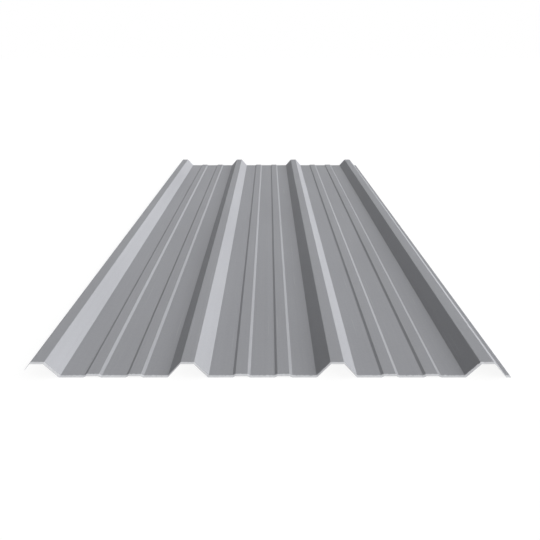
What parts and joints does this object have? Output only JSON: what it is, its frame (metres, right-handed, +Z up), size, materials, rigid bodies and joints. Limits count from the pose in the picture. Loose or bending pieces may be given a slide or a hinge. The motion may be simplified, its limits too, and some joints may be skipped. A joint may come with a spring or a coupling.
{
  "type": "corrugated metal sheet",
  "caption": "Roll-formed grey steel sheet with tall trapezoidal ribs, shallow stiffening ribs in its pans, an overlap leg on one side and a bearing foot on the other, for roofs and walls.",
  "frame": {"origin": "middle of the sheet's footprint, on the floor that its pans lie on", "axes": "+X across the ribs from the overlap leg to the bearing foot, +Y along the ribs, +Z up out of the weather face"},
  "size_m": [0.9914, 2.134, 0.0325],
  "materials": {
    "painted_steel": "satin grey coil coating on zinc-coated steel, bare at the cut edges"
  },
  "bodies": {
    "root": {"ribbed_sheet": "painted_steel"}
  },
  "joints": []
}
